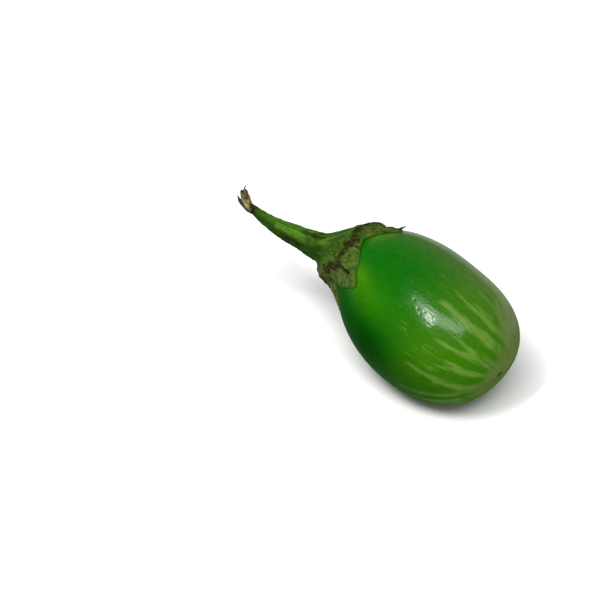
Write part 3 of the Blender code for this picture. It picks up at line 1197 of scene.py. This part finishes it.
    def _rows(self, angle: Array) -> tuple[Array, Array, Array]:
        """The plain form's rings, from under the lobes out to the margin, back to the crust and up the stem.

        Args:
            angle: the columns' angles.

        Returns:
            The rings in the berry's axes; how far each point is past the crust, in millimetres, below zero
            on the lobes; and how far it is from the margin, in millimetres, zero on the underside.
        """
        margin = self.margin(angle)
        rows, past, inside = [], [], []

        def add(points: Array, past_crust: Array | float, from_margin: Array | float) -> None:
            """Keeps a ring.

            Args:
                points: the ring's points.
                past_crust: how far each is past the crust.
                from_margin: how far each is from the margin.
            """
            rows.append(points)
            past.append(np.broadcast_to(np.asarray(past_crust, float) * MM, angle.shape))
            inside.append(np.broadcast_to(np.asarray(from_margin, float) * MM, angle.shape))

        for share in np.linspace(0, 1, self.underside_rings + 1)[1:]:
            arc = share * margin
            add(self.berry.on_skin(arc, angle, self.gap + self.lift(arc)), -0.010, 0.0)
        for share in np.linspace(0, 1, self.lobe_rings) ** 1.25:
            arc = margin + share * (self.crease_reach - margin)
            add(self.lobe_ring(share, angle, margin), self.crust_reach - arc, margin - arc)
        crease, crust = rows[-1], self.funnel_ring(0.0, angle)
        for share in np.linspace(0, 1, self.crust_rings + 2)[1:-1]:
            depth = (self.crust_reach - self.crease_reach) * (1 - share)
            add(crease + share * (crust - crease), depth, margin - self.crust_reach + depth)
        length = self.stem_radii[0][0]
        for share in np.linspace(0, 1, self.funnel_rings):
            add(self.funnel_ring(share, angle), share * length, margin - self.crust_reach + share * length)
        for along in np.linspace(length, self.stem_radii[-1][0], self.stem_rings + 1)[1:]:
            add(self.stem_ring(along, angle), along, 0.02 + along)
        return np.array(rows), np.array(past), np.array(inside)

    def _relief(
        self, rows: Array, past: Array, inside: Array, angle: Array
    ) -> tuple[Array, dict[str, Array]]:
        """The surface's detail, and the numbers that the finish reads.

        Args:
            rows: the rings in the berry's axes.
            past: how far each point is past the crust, in millimetres.
            inside: how far each point is from the margin, in millimetres.
            angle: the columns' angles.

        Returns:
            The heights along the normal, and the numbers by name.
        """
        outer = smooth_share(inside, 0.0, 0.8)
        points = rows * MM
        turned = np.broadcast_to(angle, past.shape)
        wander = soft_noise(points, 2.0, 2)
        turns, middles, widths = zip(*self.cork_line)
        degrees_round = np.degrees(turned)
        middle = np.interp(degrees_round, turns, middles, period=360) + 0.9 * wander
        width = np.interp(degrees_round, turns, widths, period=360)
        width *= 1 + 0.5 * soft_noise(points + 9.0, 2.8)
        cork = hump(past, middle, width) * (0.85 + 0.6 * soft_noise(points + 31.0, 3.5)) * outer
        slit = strongest(self.slits, turned + 0.05 * wander, past) * outer
        stem = smooth_share(past, 2.0, 12.0)
        end = self.stem_radii[-1][0] * MM
        neck = smooth_share(past, end - 5.0, end - 0.5)
        lumps = soft_noise(points, 2.4, 3)
        crumbs = soft_noise(points, 0.9, 2)
        fibre_place = np.stack([past / 9.0, 3.6 * np.cos(turned), 3.6 * np.sin(turned)], -1)
        ridge = sum(strength * hump(turn_away(turned, at), 0, half) for at, half, strength in self.ridges)
        on_cup = self.lump_height * lumps * (1 - stem) + self.crumb_height * crumbs
        on_stem = self.stem_lump_height * lumps + self.ridge_height * ridge
        heights = (
            (on_cup + self.hollow.mask(turned, past) + self._midribs(turned, past, inside)) * outer
            + self.cork_height * (crumbs + 0.2) * np.clip(cork, 0, 1)
            - self.slit_depth * slit
            + self.fibre_height * soft_noise(fibre_place, 1.0, 3) * stem
            + on_stem * stem * (1 - neck)
            + sum(patch.mask(turned, past) for patch in self.swellings)
        )
        lobes = (1 - smooth_share(past, -1.5, 3.0)) * outer
        shaded_side = hump(turn_away(turned, self.swell_turn), 0, self.shaded_half_turn)
        return heights, {
            "cork": cork,
            "slit": slit,
            "shade": self.shaded * shaded_side * smooth_share(past, -4.0, 6.0),
            "rust_and_shadow": strongest(self.rust_and_shadow, turned, past),
            "edge": (1 - smooth_share(inside, 0.1, 0.8)) * smooth_share(-past, 1.0, 3.0),
            "ridge": ridge * stem,
            "lobes": lobes,
            "weathering": 0.16 + 0.28 * hump(past, 8, 5) + 0.28 * lobes + 0.15 * lumps,
            "dryness": neck,
            "fibre_place": fibre_place,
        }

    def _midribs(self, turned: Array, past: Array, inside: Array) -> Array:
        """A low rib along the middle of each lobe, and a shallow hollow on each side of it.

        Args:
            turned: each point's angle.
            past: how far it is past the crust, in millimetres.
            inside: how far it is from the margin, in millimetres.

        Returns:
            Heights along the normal.
        """
        rib = np.zeros_like(turned)
        for lobe in self.lobes:
            away = np.radians(turn_away(turned, lobe.middle)) * self.rib_radius_mm
            rib += hump(away, 0, 1.0) - 0.5 * hump(abs(away), 2.4, 1.2)
        return self.rib_height * rib * smooth_share(-past, 1.0, 4.0) * smooth_share(inside, 0.6, 3.0)

    def build(self) -> Object:
        """Builds the calyx and stem, in place of the CAD ones.

        Returns:
            The piece.
        """
        angle = radians(self.lobes[0].middle) + np.linspace(0, 2 * pi, self.columns, endpoint=False)
        rows, past, inside = self._rows(angle)
        heights, values = self._relief(rows, past, inside, angle)
        slope_up = np.gradient(rows, axis=0)
        slope_round = np.roll(rows, -1, 1) - np.roll(rows, 1, 1)
        normals = np.cross(slope_up, slope_round)
        normals /= np.maximum(np.linalg.norm(normals, axis=-1, keepdims=True), 1e-12)
        rows = rows + heights[..., None] * normals
        mesh = skin_rings("calyx_and_stem_skin", self.berry.to_world(rows), values)
        piece = add_piece("calyx_and_stem_skin", mesh, CalyxFinish().make())
        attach(piece, BODY)
        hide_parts("calyx_and_stem")
        return piece


@dataclass(frozen=True)
class Shred:
    """A dried shred of the calyx and stem. Its points start from the calyx pole, in the berry's axes."""

    name: str
    tone: DryTone

    def _piece(self, rings: Array, values: dict[str, Array], folded: bool = False) -> Object:
        """The piece, in place of the CAD one.

        Args:
            rings: its points in world axes, ring by ring.
            values: what its finish reads.
            folded: whether it is a folded sheet.

        Returns:
            The piece.
        """
        mesh = skin_rings(self.name, rings, values, folded)
        piece = add_piece(self.name, mesh, DryFinish(self.tone).make())
        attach(piece, BODY)
        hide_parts("calyx_and_stem")
        return piece


@dataclass(frozen=True)
class Splinter(Shred):
    """A tapering shred: points with the radius at each, how flat it is and how far it twists, in radians."""

    stations: tuple[tuple[Point, float], ...]
    flatness: float = 1.0
    twist: float = 0.0
    sides: int = 20
    rows: int = 48
    crumple: float = 0.00008
    crumple_size: float = 0.8

    def build(self, berry: BerryShape) -> Object:
        """Builds the shred as a closed tapering piece.

        Args:
            berry: the berry whose axes the points are in.

        Returns:
            The piece.
        """
        points, radii = zip(*self.stations)
        reach = reach_along(points)
        turns = np.linspace(0, 2 * pi, self.sides, endpoint=False)
        rings, along_mm = [], []
        for at in np.linspace(0, reach[-1], self.rows):
            middle, direction = smooth_line(points, at)
            across = unit(np.cross(direction, [0, 1, 0]))
            beside = np.cross(direction, across)
            roll = self.twist * at / reach[-1]
            wide = cos(roll) * across + sin(roll) * beside
            thin = cos(roll) * beside - sin(roll) * across
            radius = np.interp(at, reach, radii) * min(1.0, 4 * (1 - at / reach[-1]) + 0.12) ** 0.5
            ring = np.cos(turns)[:, None] * wide + self.flatness * np.sin(turns)[:, None] * thin
            rings.append(berry.calyx_pole + (middle + radius * ring))
            along_mm.append(np.full(self.sides, at * MM))
        rings, along_mm = np.array(rings), np.array(along_mm)
        away = unit(rings - rings.mean(axis=1, keepdims=True))
        rings += (self.crumple * soft_noise(rings * MM, self.crumple_size, 2))[..., None] * away
        turned = np.broadcast_to(turns, along_mm.shape)
        values = {
            "rim": np.abs(np.cos(turned)) ** 3 + 0.3 * smooth_share(along_mm / along_mm.max(), 0.7, 1.0),
            "fibre_place": np.stack([along_mm / 2.5, 1.2 * np.cos(turned), 1.2 * np.sin(turned)], -1),
        }
        return self._piece(berry.to_world(rings), values)


@dataclass(frozen=True)
class Curl(Shred):
    """A dried sheath, open along one side, with a torn rim.

    Its stations are points, each with the sheath's radius and how many degrees it covers.
    """

    stations: tuple[tuple[Point, float, float], ...]
    opens_to: Point
    torn: float = 0.15
    notch_rate: float = 1.6
    notch_seed: float = 4.2
    thickness: float = 0.00022
    rows: int = 44
    columns: int = 56
    crumple: float = 0.00042
    crumple_size: float = 1.3

    def _sheet(self, across: Array, along: Array) -> tuple[Array, Array]:
        """The sheet's outer side and the outward direction, over a grid.

        Args:
            across: from -1 to 1 over the sheet's width.
            along: from 0 at the foot to 1 at the rim.

        Returns:
            Points from the calyx pole, and unit vectors.
        """
        places, radii, turns = zip(*self.stations)
        reach = reach_along(places)
        at = along * reach[-1]
        line = [smooth_line(places, float(value)) for value in at.ravel()]
        middle, direction = (np.array(part).reshape(*at.shape, 3) for part in zip(*line))
        opening = np.broadcast_to(np.array(self.opens_to), direction.shape)
        back = -unit(opening - (opening * direction).sum(-1, keepdims=True) * direction)
        side = np.cross(direction, back)
        turn = across * np.radians(np.interp(at, reach, turns)) / 2
        away = np.cos(turn)[..., None] * back + np.sin(turn)[..., None] * side
        return middle + np.interp(at, reach, radii)[..., None] * away, away

    def build(self, berry: BerryShape) -> Object:
        """Builds the sheath as a closed thin sheet.

        Args:
            berry: the berry whose axes the points are in.

        Returns:
            The piece.
        """
        across = np.linspace(-1, 1, self.columns)
        rim_line = np.stack([across * self.notch_rate, across * 0, across * 0 + self.notch_seed], -1)
        notches = soft_noise(rim_line, 1.0, 2)
        rim = 1 - self.torn * np.clip(0.5 + 0.9 * notches, 0, 1)
        share = np.linspace(0, 1, self.rows)[:, None]
        grid = np.broadcast_to(across, (self.rows, self.columns))
        outer, away = self._sheet(grid, share * rim)
        crumples = soft_noise(outer * MM, self.crumple_size, 2)
        outer = outer + (self.crumple * share * crumples)[..., None] * away
        thickness = self.thickness * np.sqrt(1.02 - grid**6) * np.sqrt(1.02 - share**8)
        inner = outer - thickness[..., None] * away
        rings = berry.calyx_pole + np.concatenate([outer, inner[:, ::-1]], axis=1)
        at_edge = np.maximum(smooth_share(share, 0.85, 1.0), smooth_share(abs(grid), 0.85, 1.0))
        near_rim = 0.8 * np.maximum(at_edge, 1 - smooth_share(share, 0.10, 0.45))
        fibre_place = np.stack([share * 2.5 + 0 * grid, grid * 4, 0 * grid], -1)
        values = {
            "rim": np.concatenate([near_rim, 0.40 + near_rim[:, ::-1]], axis=1),
            "fibre_place": np.concatenate([fibre_place, fibre_place[:, ::-1] + 5], axis=1),
        }
        return self._piece(berry.to_world(rings), values, folded=True)


@dataclass
class DriedEnds:
    """The stem's torn, dried end, made of a husk, a dark strip and a thin fibre, and a lobe's curled tip."""

    berry: BerryShape
    shreds: tuple[Curl | Splinter, ...] = (
        Curl(
            "dried_husk",
            DryTone.HUSK,
            (
                ((-0.0404, -0.0122, -0.0048), 0.0016, 345),
                ((-0.0424, -0.0125, -0.0040), 0.0014, 325),
                ((-0.0438, -0.0124, -0.0031), 0.0016, 280),
                ((-0.0452, -0.0121, -0.0022), 0.0017, 245),
                ((-0.0464, -0.0117, -0.0012), 0.0014, 215),
                ((-0.0472, -0.0115, 0.0000), 0.0009, 190),
            ),
            (0.67, -0.16, 0.73),
        ),
        Splinter(
            "dried_strip",
            DryTone.STRIP,
            (
                ((-0.0395, -0.0127, -0.0056), 0.0007),
                ((-0.0415, -0.0132, -0.0054), 0.0011),
                ((-0.0436, -0.0138, -0.0044), 0.0009),
                ((-0.0456, -0.0141, -0.0033), 0.0007),
                ((-0.0475, -0.0138, -0.0021), 0.0003),
            ),
            flatness=0.4,
            twist=0.8,
            crumple=0.00020,
        ),
        Splinter(
            "dried_fibre",
            DryTone.FIBRE,
            (
                ((-0.0450, -0.0117, -0.0028), 0.00060),
                ((-0.0464, -0.0113, -0.0010), 0.00045),
                ((-0.0471, -0.0109, -0.0002), 0.00028),
                ((-0.0472, -0.0101, 0.0006), 0.00018),
                ((-0.0471, -0.0091, 0.0011), 0.00012),
            ),
            flatness=0.7,
            twist=1.2,
            sides=14,
            rows=36,
            crumple=0.00006,
        ),
        Splinter(
            "dried_lobe_tip",
            DryTone.TIP,
            (
                ((0.0096, 0.0061, 0.0156), 0.00025),
                ((0.0103, 0.0066, 0.0163), 0.00042),
                ((0.0108, 0.0070, 0.0169), 0.00040),
                ((0.0113, 0.0077, 0.0175), 0.00032),
                ((0.0119, 0.0085, 0.0178), 0.00014),
            ),
            flatness=0.55,
            twist=0.9,
            sides=14,
            rows=30,
            crumple=0.00008,
        ),
    )

    def build(self) -> list[Object]:
        """The shreds, in place of the CAD ones."""
        return [shred.build(self.berry) for shred in self.shreds]


@dataclass(frozen=True)
class Softbox:
    """A plain rectangular light: where it shines from, the way its height points, its size and its power."""

    name: str
    direction: Point
    upright: Point
    distance: float
    width: float
    height: float
    power: float

    def build(self, target: Vector) -> Object:
        """Adds the light to the scene.

        Args:
            target: the point that it faces.

        Returns:
            The light's object.
        """
        lamp = bpy.data.lights.new(self.name, "AREA")
        lamp.shape = "RECTANGLE"
        lamp.size = self.width
        lamp.size_y = self.height
        lamp.energy = self.power
        away = Vector(self.direction).normalized()
        beside = Vector(self.upright).cross(away).normalized()
        made = bpy.data.objects.new(self.name, lamp)
        made.rotation_mode = "QUATERNION"
        made.rotation_quaternion = Matrix((beside, away.cross(beside), away)).transposed().to_quaternion()
        made.location = target + away * self.distance
        bpy.context.scene.collection.objects.link(made)
        return made


@dataclass
class Studio:
    """A pale floor, soft light and the camera at the picture's viewing angle."""

    target: Point = (0.006, -0.014, 0.042)
    floor_size: float = 6.0
    world_strength: float = 0.26
    softboxes: tuple[Softbox, ...] = (
        Softbox("key_softbox", (-0.040, -0.540, 0.840), (0.135, -0.378, -0.196), 2.4, 0.16, 0.72, 19.0),
        Softbox("strip_softbox", (0.210, -0.370, 0.905), (0.503, 0.214, -0.115), 2.4, 0.88, 1.85, 52.0),
        Softbox("wide_softbox", (0.220, -0.360, 0.910), (0.503, 0.214, -0.115), 3.9, 4.2, 4.2, 18.0),
    )
    azimuth: float = radians(45.56)
    elevation: float = radians(39.98)
    distance: float = 0.550
    aim: Point = (-0.0387, -0.0281, 0.0298)
    lens: float = 95.7
    sensor: float = 36.0
    clip_start: float = 0.01

    def build(self) -> None:
        """The floor, the world, the lights, the camera and the colour management."""
        self._floor()
        self._world()
        for softbox in self.softboxes:
            softbox.build(Vector(self.target))
        self._camera()
        view = bpy.context.scene.view_settings
        view.view_transform = "Standard"
        view.look = "None"

    def _floor(self) -> None:
        """A flat square of floor under the object."""
        half = self.floor_size / 2
        mesh = bpy.data.meshes.new("floor")
        corners = [(-half, -half, 0), (half, -half, 0), (half, half, 0), (-half, half, 0)]
        mesh.from_pydata(corners, [], [(0, 1, 2, 3)])
        add_piece("floor", mesh, FloorFinish().make())

    def _world(self) -> None:
        """Even white light from all round."""
        world = bpy.data.worlds.new("studio")
        world.use_nodes = True
        background = world.node_tree.nodes["Background"]
        background.inputs["Color"].default_value = (1.0, 1.0, 1.0, 1.0)
        background.inputs["Strength"].default_value = self.world_strength
        bpy.context.scene.world = world

    def _camera(self) -> None:
        """The camera, level, looking down at the object."""
        lens = bpy.data.cameras.new("camera")
        lens.lens = self.lens
        lens.sensor_width = self.sensor
        lens.clip_start = self.clip_start
        camera = bpy.data.objects.new("camera", lens)
        azimuth, elevation = self.azimuth, self.elevation
        back = Vector((sin(azimuth) * cos(elevation), -cos(azimuth) * cos(elevation), sin(elevation)))
        camera.location = Vector(self.aim) + back * self.distance
        camera.rotation_mode = "QUATERNION"
        camera.rotation_quaternion = (-back).to_track_quat("-Z", "Y")
        bpy.context.scene.collection.objects.link(camera)
        bpy.context.scene.camera = camera


def main() -> None:
    """Builds and reports the berry, the calyx and stem and their dried ends, then builds the studio."""
    logging.basicConfig(level=logging.INFO, format="%(message)s")
    low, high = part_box("fruit")
    berry = BerryShape(girth_radius=(high.y - low.y) / 2)
    for piece in (FruitSkin(berry).build(), CalyxAndStem(berry).build(), *DriedEnds(berry).build()):
        LOG.info("%s: %d faces", piece.name, len(piece.data.polygons))
    Studio().build()


if __name__ == "__main__":
    main()
